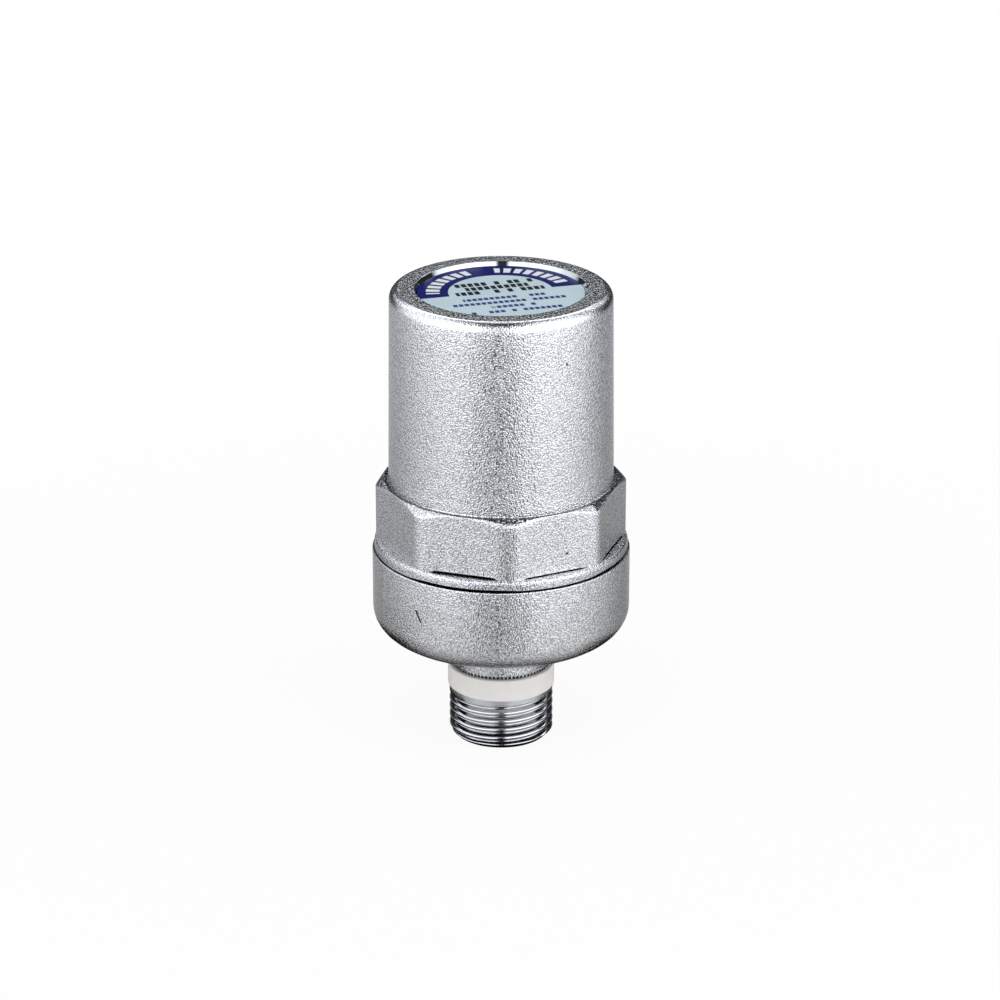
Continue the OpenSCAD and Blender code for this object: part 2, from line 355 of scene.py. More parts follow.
turned = {
    "dark": (0.57, 0.575, 0.59, 1), "light": (0.66, 0.665, 0.68, 1), "lightFrom": (0.5, 0.4),
    "lines": (0.09, 1.0, 0.5, (0.02, 0.02, 1)), "handling": (1.6, 3.0, 0.6), "lineShare": 0.3,
    "depth": 0.012, "rough": 0.07, "handledRough": 0.1,
    "satinFrom": (9.75, 0.4), "satinTo": (11.0, 0.2), "satinRough": 0.29,  # the plain band above the thread
    "polishFrom": (92.0, 0.4), "polishRough": 0.02,  # the recess for the label is polished
}


def turnedChrome(name):
    finish = Finish(name, {"Metallic": 1.0})
    lines = finish.noise(*turned["lines"])
    handling = finish.noise(*turned["handling"])
    finish.feed("Base Color", handling.over(*turned["lightFrom"]).tint(turned["dark"], turned["light"]))
    _, _, z = finish.axes()
    satin = z.over(*turned["satinFrom"]) * (1 - z.over(*turned["satinTo"]))
    polish = z.over(*turned["polishFrom"])
    rough = turned["rough"] + (1 - polish) * handling * turned["handledRough"]
    finish.feed("Roughness", rough + satin * turned["satinRough"] - polish * turned["polishRough"])
    finish.bump(lines * turned["lineShare"] + handling * (1 - turned["lineShare"]), turned["depth"])
    return finish.material


sealWhite = {
    "settings": {"Subsurface Weight": 0.15, "Subsurface Scale": 0.0008},
    "low": (0.87, 0.838, 0.82, 1), "high": (0.92, 0.897, 0.88, 1), "highFrom": (0.5, 0.7),
    "cloud": (3.2, 3.0, 0.6), "lines": (0.35, 1.0, 0.5, (0.05, 0.05, 1)), "lineShare": 0.6,
    "rough": (0.42, 0.14), "depth": 0.02,
}


def sealPlastic(name):
    finish = Finish(name, sealWhite["settings"])
    cloud = finish.noise(*sealWhite["cloud"])
    lines = finish.noise(*sealWhite["lines"])
    finish.feed("Base Color", cloud.over(*sealWhite["highFrom"]).tint(sealWhite["low"], sealWhite["high"]))
    finish.feedRough(sealWhite["rough"], cloud)
    finish.bump(lines * sealWhite["lineShare"] + cloud * (1 - sealWhite["lineShare"]), sealWhite["depth"])
    return finish.material


ringRubber = {
    "settings": {}, "low": (0.018, 0.018, 0.019, 1), "high": (0.045, 0.045, 0.047, 1),
    "stain": (1.4, 3.0, 0.6), "skin": (1.4, 3.0, 0.6), "rough": (0.45, 0.25), "depth": 0.02,
}
pistonAcetal = {
    "settings": {}, "low": (0.66, 0.645, 0.59, 1), "high": (0.76, 0.75, 0.70, 1),
    "stain": (4.5, 3.0, 0.55, (1, 1, 0.4)), "skin": (0.4, 2.0, 0.5), "rough": (0.34, 0.16), "depth": 0.012,
}
springSteel = {
    "settings": {"Metallic": 1.0}, "low": (0.42, 0.42, 0.43, 1), "high": (0.60, 0.60, 0.615, 1),
    "stain": (5.0, 3.0, 0.6), "skin": (0.5, 2.0, 0.6, (1, 1, 0.3)), "rough": (0.22, 0.16), "depth": 0.012,
}


def innerFinish(name, look):
    # for the pieces inside: a stain in the colour and a fine skin
    finish = Finish(name, look["settings"])
    stain = finish.noise(*look["stain"])
    skin = finish.noise(*look["skin"])
    finish.feed("Base Color", stain.tint(look["low"], look["high"]))
    finish.feedRough(look["rough"], skin)
    finish.bump(skin, look["depth"])
    return finish.material


labelPrint = {
    "turn": 11.7,  # how far the film was stuck on out of true, in degrees
    "paper": (0.50, 0.635, 0.70, 1), "paperLight": (0.57, 0.70, 0.765, 1), "cloud": (5.0, 2.0, 0.5),
    "rough": (0.32, 0.1), "depth": 0.03, "shine": 0.06,
    "navy": (0.0085, 0.0135, 0.125, 1), "ringR": (13.5, 3.1, 0.08), "ringFrom": (0.0, 0.08),
    # two groups of plain pale blocks round the dark half ring, in degrees from the film's top
    "pale": (0.78, 0.82, 0.86, 1), "blockR": (13.4, 1.35, 0.1), "blockFrom": (0.0, 0.1),
    "blockPitch": 9.2, "blockStep": (1.564, 0.5), "groups": (45.0, 35.0, 0.3),
    # rows of plain blocks: height on the film, half height, half length, block pitch, ink
    "ink": (0.012, 0.013, 0.02, 1), "blueInk": (0.03, 0.055, 0.20, 1),
    "inkStep": (0.12, 0.08), "inkSoft": 0.1, "blankTo": (0.16, 0.01), "shuffle": 7.3,
    "rows": [
        (5.6, 1.0, 7.9, 1.35, "ink"), (3.1, 1.0, 6.4, 1.35, "ink"), (0.6, 1.0, 9.0, 1.35, "ink"),
        (-3.4, 0.7, 8.7, 1.15, "blueInk"), (-6.0, 0.7, 11.6, 1.15, "blueInk"),
        (-8.7, 0.7, 4.6, 1.15, "blueInk"), (-11.4, 0.7, 9.2, 1.15, "blueInk"),
    ],
}


def printedFilm(name):
    finish = Finish(name, {"Specular IOR Level": labelPrint["shine"]})
    wire = finish.wire
    u, v, _ = finish.axes(-labelPrint["turn"])
    radius = wire.calc("SQRT", u * u + v * v)
    degrees = wire.calc("ARCTAN2", v, u) * math.degrees(1)
    cloud = finish.noise(*labelPrint["cloud"])
    colour = cloud.tint(labelPrint["paper"], labelPrint["paperLight"])
    ring = radius.within(*labelPrint["ringR"]) * v.over(*labelPrint["ringFrom"])
    colour = ring.tint(colour, labelPrint["navy"])
    blocks = wire.calc("PINGPONG", degrees, labelPrint["blockPitch"] / 2).over(*labelPrint["blockStep"])
    blocks = blocks * radius.within(*labelPrint["blockR"]) * v.over(*labelPrint["blockFrom"])
    groups = abs(degrees - 90).within(*labelPrint["groups"])
    colour = (blocks * groups).tint(colour, labelPrint["pale"])
    soft = labelPrint["inkSoft"]
    for height, tall, length, pitch, ink in labelPrint["rows"]:
        place = u / pitch
        chance = wire.add(
            "TexWhiteNoise", {"noise_dimensions": "1D"},
            {"W": wire.calc("FLOOR", place) + height * labelPrint["shuffle"]}, "Value",
        )
        row = wire.calc("PINGPONG", place, 0.5).over(*labelPrint["inkStep"])
        row = row * chance.over(*labelPrint["blankTo"])  # some blocks are left out
        row = row * v.within(height, tall, soft) * u.within(0.0, length, soft)
        colour = row.tint(colour, labelPrint[ink])
    finish.feed("Base Color", colour)
    finish.feedRough(labelPrint["rough"], cloud)
    finish.bump(cloud, labelPrint["depth"])
    return finish.material


# sizes that several pieces share

clearance = 0.1  # on the radius, between sliding and screwed pieces
spigotWall = 3.2
wireR = 1.5
coilRoom = 0.4  # between the spring and the bosses inside it
bossH = 3.0
bossFillet = 0.2
bossEdge = 0.4
leadIn = 0.8
pistonR, floorZ, pistonTop = nodeSpan("piston")
cupR, _, rimZ = nodeSpan("lower_body")
skirtR, spigotZ, topZ = nodeSpan("upper_body")
sealR, threadLen, neckZ = nodeSpan("thread_seal")
labelR, labelZ, labelTop = nodeSpan("label")
coilOuterR, crownZ, ceilingZ = nodeSpan("spring")
_, jointRingLow, jointRingHigh = nodeSpan("joint_o_ring")
jointRingZ = (jointRingLow + jointRingHigh) / 2
boreR = pistonR + clearance
spigotR = boreR + spigotWall
socketR = spigotR + clearance
bossR = coilOuterR - 2 * wireR - coilRoom

chrome = blastedChrome("blastedChrome")
brightChrome = turnedChrome("turnedChrome")
# painted shade: dark speckled chrome for the ledge round the bell's foot and for the slots
shadedLedgeChrome = speckledChrome("shadedLedgeChrome", speckled["ledge"])
rimChrome = speckledChrome("rimChrome", speckled["rim"])
shadedSlotChrome = speckledChrome("shadedSlotChrome", speckled["slot"])
print("materials: chrome made")


# upper body: bell, octagon collar, skirt and the spigot inside

upper = {
    "baseWall": 3.45, "topWall": 3.0, "edgeRound": 2.0, "rimWidth": 5.0, "rimRound": 0.15,
    "recessDepth": 1.05, "recessLean": 0.5, "recessFillet": 0.1,
    "collarHeight": 12.3, "collarEdge": 0.22, "ledge": 0.95, "ledgeFillet": 0.25, "ledgeFoot": 0.225,
    "cornerRound": [3.5, 4.5, 5.0, 4.5, 3.5, 4.0, 7.5, 3.5],  # each corner of the octagon, counted from +X
    "cornerDrop": 1.15, "gather": 0.72,  # gather brings the lathe's steps closer at the corners
    "jointGap": 0.5, "gapBlend": 0.15, "skirtHeight": 1.8, "skirtRound": 0.15, "skirtEdge": 0.2,
    "beadHeight": 1.7, "beadSquare": 0.62, "beadSteps": 12, "beadBlend": 0.1, "crestDrop": 0.06,
    "slotReach": 1.05, "slotHeight": 0.45, "slotDepth": 0.7, "slotFade": 0.3,
    "slotShare": [0.7, 0.5, 0.8, 0.45, 0.06, 1.0, 0.5, 0.9],  # the forged flats run down unevenly
    "gapShare": [0.9, 0.7, 0.9, 0.6, 0.45, 1.0, 0.6, 1.1],  # and so does the skirt's lower edge
    "ceilingRound": 2.5, "grooveHigh": 2.08, "grooveDeep": 1.5, "grooveFillet": 0.2,
    "steps": 256, "flatRows": 11, "ledgeRows": 3, "bellRows": 7, "flatEnds": 1, "bellEnds": 5,
    # faces of the ledge and the rim, by their height and how far up they look
    "ledgeSpan": 1.2, "ledgeTilt": 0.72, "rimSpan": 0.03, "rimTilt": 0.9,
    "shadedSides": (0, 3, 4, 5, 6, 11, 12, 14, 15),  # sixteenths of the ledge whose corner also gets the painted shade
}


def octagonRadius(angle, flatR):
    corner = round(angle / octant)
    off = abs(angle - corner * octant)  # angle from the nearest corner
    cornerR = upper["cornerRound"][corner % 8]
    centreR = (flatR - cornerR) / math.cos(octant / 2)
    tangent = math.atan2(cornerR * math.sin(octant / 2), centreR + cornerR * math.cos(octant / 2))
    if off > tangent:
        return flatR / math.cos(octant / 2 - off)
    return centreR * math.cos(off) + math.sqrt(cornerR ** 2 - (centreR * math.sin(off)) ** 2)


def gapShare(angle):
    # blends from one flat's share to the next near the corner between them
    corner = round(angle / octant)
    off = max(-1, min(1, (angle / octant - corner) / upper["gapBlend"]))
    blend = 0.5 + 0.5 * math.sin(math.pi / 2 * off)
    before = upper["gapShare"][(corner - 1) % 8]
    after = upper["gapShare"][corner % 8]
    return before + (after - before) * blend


def softMax(a, b, blend):
    return (a + b + math.sqrt((a - b) ** 2 + blend ** 2)) / 2


def makeUpperBody():
    baseR = boreR + upper["baseWall"]
    bellTopR = boreR + upper["topWall"]
    flatR = baseR + upper["ledge"]
    recessR = bellTopR - upper["rimWidth"]
    recessZ = topZ - upper["recessDepth"]
    skirtZ = rimZ + upper["jointGap"]
    ledgeZ = skirtZ + upper["skirtHeight"]
    collarZ = ledgeZ + upper["collarHeight"]
    crestR = flatR + upper["slotReach"]
    crestZ = ledgeZ - upper["crestDrop"]
    slotZ = crestZ + upper["slotHeight"]
    slotR = flatR - upper["slotDepth"]
    beadLow = ledgeZ - upper["beadHeight"]
    bead = []
    for i in range(upper["beadSteps"] + 1):
        turn = math.pi / 2 * (1 - i / upper["beadSteps"])
        out = max(0, math.cos(turn)) ** upper["beadSquare"]
        lift = math.sin(turn) ** upper["beadSquare"]
        bead.append((crestR + (skirtR - crestR) * out, beadLow + (crestZ - beadLow) * lift, 0))
    grooveR = spigotR - upper["grooveDeep"]
    grooveLow = jointRingZ - upper["grooveHigh"] / 2
    grooveTop = jointRingZ + upper["grooveHigh"] / 2
    grooveFillet = upper["grooveFillet"]
    corners = [
        (0, recessZ, 0), (recessR - upper["recessLean"], recessZ, upper["recessFillet"]),
        (recessR, topZ, upper["rimRound"]), (bellTopR, topZ, upper["edgeRound"]),
        (baseR, collarZ, upper["ledgeFillet"]), (flatR, collarZ, upper["collarEdge"]),
        (flatR, slotZ, 0), (slotR, slotZ, 0), (slotR, crestZ, 0), (flatR, crestZ, 0), *bead,
        (skirtR, skirtZ, upper["skirtRound"]), (spigotR, skirtZ, 0), (spigotR, grooveTop, 0),
        (grooveR, grooveTop, grooveFillet), (grooveR, grooveLow, grooveFillet), (spigotR, grooveLow, 0),
        (spigotR, spigotZ + leadIn, 0), (spigotR - leadIn, spigotZ, 0),
        (boreR + leadIn, spigotZ, 0), (boreR, spigotZ + leadIn, 0),
        (boreR, ceilingZ, upper["ceilingRound"]), (bossR, ceilingZ, bossFillet),
        (bossR, ceilingZ - bossH, bossEdge), (0, ceilingZ - bossH, 0),
    ]
    flatLow = ledgeZ + upper["flatEnds"]
    flatHigh = collarZ - upper["flatEnds"]
    bellLow = collarZ + upper["bellEnds"]
    bellHigh = topZ - upper["bellEnds"]
    bm = bmesh.new()
    drawOutline(bm, corners, closed=False)
    cutRows(bm, lambda r, z: abs(r - flatR) < slack and flatLow < z < flatHigh, upper["flatRows"])
    cutRows(bm, lambda r, z: abs(z - collarZ) < slack and baseR < r < flatR, upper["ledgeRows"])
    cutRows(bm, lambda r, z: bellLow < z < bellHigh and r > bellTopR, upper["bellRows"])
    turnOnLathe(bm, upper["steps"])
    foot = baseR + upper["ledgeFoot"]
    edgeZ = collarZ - upper["collarEdge"]
    for vert in bm.verts:
        r, z, angle = polar(vert)
        angle -= upper["gather"] / 8 * math.sin(8 * angle)
        reach = octagonRadius(angle, flatR) - flatR
        farReach = octagonRadius(round(angle / octant) * octant, flatR) - flatR
        if r > foot and z > slotZ + slack:  # ledge, edge and flats
            wide = r + reach * min(1, (r - foot) / (flatR - foot))
            if z > edgeZ - slack:
                z -= upper["cornerDrop"] * max(0, wide - flatR) / farReach
            else:
                z -= upper["cornerDrop"] * reach / farReach * (z - slotZ) / (edgeZ - slotZ)
            r = wide
        elif slotR - slack < r < flatR + slack and crestZ - slack < z < slotZ + slack:
            # slot, open only at the foot of a flat
            opening = min(1, max(0, (crestR - flatR - reach) / upper["slotFade"]))
            share = upper["slotShare"][math.floor(angle / octant) % 8]
            z = crestZ + (z - crestZ) * share * opening
            r = flatR + reach - (flatR - r) * opening
        elif r > foot and z > skirtZ + upper["skirtEdge"]:  # bead of the skirt
            r = min(softMax(r, flatR + reach, upper["beadBlend"]), skirtR)
        elif r > spigotR + upper["skirtEdge"] and z > skirtZ - slack:  # lower edge of the skirt
            z -= upper["jointGap"] * (1 - gapShare(angle))
        setPolar(vert, r, z, angle)
    bm.normal_update()
    for face in bm.faces:
        middle = face.calc_center_median() / mm
        z = middle.z
        r = math.hypot(middle.x, middle.y)
        angle = math.atan2(middle.y, middle.x)
        roofLow = recessZ - 2 * margin
        inRecess = r < recessR + margin and roofLow < z < topZ - margin
        inside = z < skirtZ + slack or (r < boreR + slack and z < roofLow)
        onLedge = r > foot and abs(z - collarZ) < upper["ledgeSpan"] and face.normal.z > upper["ledgeTilt"]
        sixteenth = math.floor(angle / (octant / 2)) % 16
        onLedge = onLedge and (r < flatR or sixteenth in upper["shadedSides"])
        onRim = r > recessR and z > topZ - upper["rimSpan"] and face.normal.z > upper["rimTilt"]
        inSlot = slotR - slack < r < octagonRadius(angle, flatR) - margin
        inSlot = inSlot and crestZ - slack < z < slotZ + slack
        # painted shade on the ledge and in the slots; the rim gets its speckled skin
        dull = 2 if onLedge else 3 if onRim else 4 if inSlot else 0
        face.material_index = 1 if inRecess or inside else dull
    finishes = [chrome, brightChrome, shadedLedgeChrome, rimChrome, shadedSlotChrome]
    keepPiece(bm, "bellAndCollar", "housing", "upper_body", finishes)


makeUpperBody()


# lower body: cup, neck and the connection thread

lower = {
    "inletR": 6.5, "inletRound": 0.5, "edgeBreak": 0.5, "threadProud": 0.3, "threadChamfer": 1.2,
    "threadRound": 0.1, "relief": 1.3, "neckInset": 0.4, "neckHeight": 6.4, "neckRound": 0.25,
    "neckFillet": 1.2, "slope": 6.0, "edgeRound": 5.5, "rimRound": 0.25,
    "footR": 11.0, "chamberR": 19.4, "chamberFillet": 0.3,
    "pitch": 1.814, "grooveDeep": 1.1, "grooveShape": 1.5, "grooveStart": 2.0, "frontAngle": -94.3,
    "plainBand": 0.9, "runOut": 0.5, "steps": 256, "threadRows": 79, "chamferRows": 9,
    "skinDepth": 0.3, "rimInset": 0.5,  # faces this far within the neck or near the socket are turned
}


def threadGroove(z, angle):
    # depth of a rounded right-hand groove at this height and angle
    turns = (z - threadLen + lower["grooveStart"]) / lower["pitch"]
    turns -= (angle - math.radians(lower["frontAngle"])) / (2 * math.pi)
    wave = 0.5 + 0.5 * math.cos(2 * math.pi * turns)
    fade = min(1, max(0, (threadLen - lower["plainBand"] - z) / lower["runOut"]))
    return lower["grooveDeep"] * fade * wave ** lower["grooveShape"]


def makeLowerBody():
    threadR = sealR - lower["threadProud"]
    reliefR = threadR - lower["relief"]
    neckR = threadR - lower["neckInset"]
    cupZ = neckZ + lower["neckHeight"]
    edgeZ = cupZ + (cupR - neckR) * math.tan(math.radians(lower["slope"]))
    chamfer = lower["threadChamfer"]
    edgeBreak = lower["edgeBreak"]
    inletR = lower["inletR"]
    chamberR = lower["chamberR"]
    corners = [
        (inletR + edgeBreak, 0, 0), (threadR - chamfer, 0, lower["threadRound"]), (threadR, chamfer, 0),
        (threadR, threadLen, lower["threadRound"]), (reliefR, threadLen, 0), (reliefR, neckZ, 0),
        (neckR, neckZ, lower["neckRound"]), (neckR, cupZ, lower["neckFillet"]),
        (cupR, edgeZ, lower["edgeRound"]), (cupR, rimZ, lower["rimRound"]),
        (socketR + leadIn, rimZ, 0), (socketR, rimZ - leadIn, 0), (socketR, spigotZ, 0),
        (chamberR, spigotZ, 0), (chamberR, floorZ, lower["chamberFillet"]),
        (lower["footR"], floorZ, lower["chamberFillet"]), (inletR, cupZ, lower["inletRound"]),
        (inletR, edgeBreak, 0),
    ]
    bm = bmesh.new()
    drawOutline(bm, corners, closed=True)
    cutRows(bm, lambda r, z: abs(r - threadR) < slack and chamfer < z < threadLen, lower["threadRows"])
    cutRows(bm, lambda r, z: reliefR < r < threadR and 2 * margin < z < chamfer, lower["chamferRows"])
    turnOnLathe(bm, lower["steps"])
    for vert in bm.verts:
        r, z, angle = polar(vert)
        if r > reliefR + margin and z < threadLen + slack:
            setPolar(vert, min(r, threadR - threadGroove(z, angle)), z, angle)
    for face in bm.faces:
        middle = face.calc_center_median() / mm
        r = math.hypot(middle.x, middle.y)
        outside = r > neckR - lower["skinDepth"] and neckZ + slack < middle.z < rimZ - slack
        outside = outside and (r > socketR + lower["rimInset"] or middle.z < floorZ)
        face.material_index = 0 if outside else 1
    keepPiece(bm, "cupAndThread", "housing", "lower_body", [chrome, brightChrome])


makeLowerBody()


# small fixed pieces

sealRing = {"gap": 0.05, "edge": 0.28, "steps": 160}


def makeSealRing():
    innerR = sealR - lower["threadProud"] - lower["relief"] + sealRing["gap"]
    edge = sealRing["edge"]
    corners = [(innerR, threadLen, 0), (sealR, threadLen, edge), (sealR, neckZ, edge), (innerR, neckZ, 0)]
    bm = bmesh.new()
    drawOutline(bm, corners, closed=True)
    turnOnLathe(bm, sealRing["steps"])
    keepPiece(bm, "sealRing", "housing", "thread_seal", [sealPlastic("sealPlastic")])


makeSealRing()

film = {"edge": 0.08, "steps": 160}


def makeLabel():
    edge = film["edge"]
    corners = [(0, labelTop, 0), (labelR, labelTop, edge), (labelR, labelZ, edge), (0, labelZ, 0)]
    bm = bmesh.new()
    drawOutline(bm, corners, closed=False)
    turnOnLathe(bm, film["steps"])
    keepPiece(bm, "labelFilm", "housing", "label", [printedFilm("printedFilm")])


makeLabel()

rubberRing = {"sides": 24, "steps": 144}


def makeRubberRing(name, node, body, material):
    outerR, low, high = nodeSpan(node)
    section = (high - low) / 2
    bm = bmesh.new()
    drawSection(bm, outerR - section, (low + high) / 2, section, rubberRing["sides"])
    turnOnLathe(bm, rubberRing["steps"])
    keepPiece(bm, name, body, node, [material])


rubber = innerFinish("ringRubber", ringRubber)
makeRubberRing("jointRing", "joint_o_ring", "housing", rubber)
makeRubberRing("pistonRingLower", "piston_o_ring_lower", "piston", rubber)
makeRubberRing("pistonRingUpper", "piston_o_ring_upper", "piston", rubber)


# piston

piston = {
    "wall": 4.4, "wellEdge": 0.4, "wellFillet": 0.3, "footR": 11.0, "footRecess": 1.5, "footRound": 0.2,
    "grooveHigh": 2.64, "grooveR": 16.77, "grooveFillet": 0.2, "grooveEdge": 0.15, "steps": 160,
}


def makePiston():
    wellR = pistonR - piston["wall"]
    footR = piston["footR"]
    footZ = floorZ + piston["footRecess"]
    grooveR = piston["grooveR"]
    corners = [(0, footZ, 0), (footR, footZ, piston["footRound"]), (footR, floorZ, piston["footRound"])]
    corners += [(pistonR, floorZ, leadIn)]
    for node in ("piston_o_ring_lower", "piston_o_ring_upper"):
        _, low, high = nodeSpan(node)
        grooveLow = (low + high - piston["grooveHigh"]) / 2
        grooveTop = grooveLow + piston["grooveHigh"]
        corners += [(pistonR, grooveLow, piston["grooveEdge"]), (grooveR, grooveLow, piston["grooveFillet"])]
        corners += [(grooveR, grooveTop, piston["grooveFillet"]), (pistonR, grooveTop, piston["grooveEdge"])]
    corners += [(pistonR, pistonTop, leadIn), (wellR, pistonTop, piston["wellEdge"])]
    corners += [(wellR, crownZ, piston["wellFillet"]), (bossR, crownZ, bossFillet)]
    corners += [(bossR, crownZ + bossH, bossEdge), (0, crownZ + bossH, 0)]
    bm = bmesh.new()
    drawOutline(bm, corners, closed=False)
    turnOnLathe(bm, piston["steps"])
    finishes = [innerFinish("pistonAcetal", pistonAcetal)]
    keepPiece(bm, "pistonCup", "piston", "piston", finishes)


makePiston()


# spring, with one closed and ground coil at each end

coil = {"activeTurns": 6.5, "closedTurns": 1, "closedRise": 3.15, "ground": 0.3, "sides": 16, "perTurn": 36}


def makeSpring():
    lowZ = crownZ + coil["ground"] * 2 * wireR
    highZ = ceilingZ - coil["ground"] * 2 * wireR
    openRise = (highZ - lowZ - 2 * coil["closedTurns"] * coil["closedRise"]) / coil["activeTurns"]
    bm = bmesh.new()
    drawSection(bm, coilOuterR - wireR, lowZ, wireR, coil["sides"])
    end = bm.verts[:] + bm.edges[:]
    closedPart = (coil["closedTurns"], coil["closedRise"])
    for turns, rise in (closedPart, (coil["activeTurns"], openRise), closedPart):
        steps = round(turns * coil["perTurn"])
        end = bmesh.ops.spin(
            bm, geom=end, cent=(0, 0, 0), axis=(0, 0, 1), angle=2 * math.pi * turns, steps=steps,
            dvec=(0, 0, rise * turns / steps * mm), use_merge=False, use_duplicate=False,
        )["geom_last"]
    bmesh.ops.holes_fill(bm, edges=[edge for edge in bm.edges if edge.is_boundary])
    bmesh.ops.recalc_face_normals(bm, faces=bm.faces[:])
    for vert in bm.verts:
        vert.co.z = min(max(vert.co.z, crownZ * mm), ceilingZ * mm)
    finishes = [innerFinish("springSteel", springSteel)]
    piece = keepPiece(bm, "returnSpring", "housing", "spring", finishes)
    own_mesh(piece)


makeSpring()


# studio: white surroundings, a pale floor, soft lamps and a dome of panels that the metal mirrors

studio = {
    "white": (1, 1, 1, 1), "worldLevel": 0.55, "front": -4.3,
    "floorSize": 3.0, "floorSides": 96, "floorZ": -0.00002, "floorColour": (0.9, 0.9, 0.9, 1),
    "floorRough": 0.9, "floorGlow": 0.93, "whiteFrom": 0.10, "whiteTo": 0.28,
    "domeRadius": 0.32, "domeZ": 0.05, "domeFineness": 4,
    "shadowInner": 0.009, "shadowZ": -0.0005, "shadowSteps": 16, "shadowLevel": 0.004,
    # dark patches of floor by the thread: name, first and last angle, outer radius
    "shadows": [
        ("shadowRight", 76, 180, 0.05), ("shadowLeft", -180, -76, 0.06), ("shadowCore", 0, 360, 0.018),
    ],
    # lamps: name, azimuth from the front, elevation, size, power
    "lampDistance": 0.9,
    "lamps": [
        ("leftBox", -55, 15, (0.7, 0.9), 2.0), ("rightBox", 55, 15, (0.7, 0.9), 2.9),
        ("topBox", 0, 66, (0.9, 0.6), 2.6),
    ],
}


def plainRays(wire):
    # 1 for the rays that should meet plain white
    node = wire.add("LightPath").socket.node
    kinds = ("Is Camera Ray", "Is Glossy Ray", "Is Transmission Ray")
    camera, glossy, through = [Wire(wire.tree, node.outputs[kind]) for kind in kinds]
    return (camera + glossy + through).clip()


def makeWorld():
    world = bpy.data.worlds.new("whiteStudio")
    bpy.context.scene.world = world
    world.use_nodes = True
    wire = Wire(world.node_tree)
    ground = world.node_tree.nodes["Background"]
    ground.inputs["Color"].default_value = studio["white"]
    level = studio["worldLevel"] + (1 - studio["worldLevel"]) * plainRays(wire)
    world.node_tree.links.new(level.socket, ground.inputs["Strength"])


def makeFloor():
    bm = bmesh.new()
    bmesh.ops.create_circle(
        bm, cap_ends=True, segments=studio["floorSides"], radius=studio["floorSize"],
        matrix=Matrix.Translation((0, 0, studio["floorZ"])),
    )
    paint = Finish("floorWhite", {
        "Base Color": studio["floorColour"], "Roughness": studio["floorRough"], "Specular IOR Level": 0.0,
    })
    wire = paint.wire
    glow = wire.add("Emission", {}, {"Color": studio["white"], "Strength": 1.0})
    # the floor glows plain white away from the object and keeps its shadow close by
    away = wire.add("VectorMath", {"operation": "LENGTH"}, {0: paint.place}, "Value")
    away = ((away - studio["whiteFrom"]) / (studio["whiteTo"] - studio["whiteFrom"])).clip()
    share = plainRays(wire) * (studio["floorGlow"] + (1 - studio["floorGlow"]) * away)
    mixed = wire.add("MixShader", {}, {0: share, 1: Wire(wire.tree, paint.shader.outputs[0]), 2: glow})
    wire.tree.links.new(mixed.socket, wire.tree.nodes["Material Output"].inputs["Surface"])
    floor = addMesh(bm, "floor", [paint.material])
    floor.visible_glossy = False  # below the horizon the metal mirrors the dome instead


def onlyMirrored(name, bm, material):
    # a stage mesh that nothing but mirrored rays meet
    card = addMesh(bm, name, [material])
    card.visible_camera = False
    card.visible_diffuse = False
    card.visible_shadow = False
    card.visible_transmission = False


def glowMaterial(name, strength):
    material = bpy.data.materials.new(name)
    material.use_nodes = True
    material.cycles.emission_sampling = "NONE"
    wire = Wire(material.node_tree)
    glow = wire.add("Emission", {}, {"Color": studio["white"], "Strength": strength})
    wire.tree.links.new(glow.socket, wire.tree.nodes["Material Output"].inputs["Surface"])
    return material, wire, glow.socket.node


# levels of the dome and where they begin, by the side, depth and height of a direction
panels = {
    "left": 1.345, "right": 1.54, "rightFrom": (0, 0.2), "high": 1.53, "highFrom": (0.1, 0.25),
    "table": 0.475, "tableTo": (-0.28, 0.24), "floorLift": 1.22, "floorTo": (-0.5, 0.2),
    "under": 0.3, "underTo": (-0.9, 0.16),
    "fadeLeft": 0.49, "fadeRight": 0.62, "fadeFrom": -0.42, "fadeShift": 0.05, "fadeSpan": 0.87,
    "behind": 0.6, "behindFrom": (0.86, 0.12), "behindTo": (-0.12, 0.12),
    "behindLift": 0.35, "liftTo": (-0.39, 0.08),
    "gap": 0.04, "gapSide": -0.02, "gapHalf": 0.22, "gapSoft": 0.06, "gapNarrow": 0.11,
    "narrowFrom": (0.05, 0.2), "gapFrom": (-0.60, 0.12), "gapTo": (0.92, 0.1), "gapDepth": (0, 0.1),
    "rear": 0.03, "rearFrom": (0.25, 0.15), "rearLeft": 0.3, "rearLow": (-0.08, 0.14),
    "crownSide": (0, 0.28, 0.1), "crownFrom": (0.84, 0.06),
    "strip": 2.4, "stripDepth": (0.60, 0.10, 0.05), "stripFrom": (0.5, 0.1),
    "lowTint": (0.98, 0.978, 0.98, 1), "highTint": (0.93, 0.963, 1.015, 1), "tintFrom": (-0.30, 0.2),
}


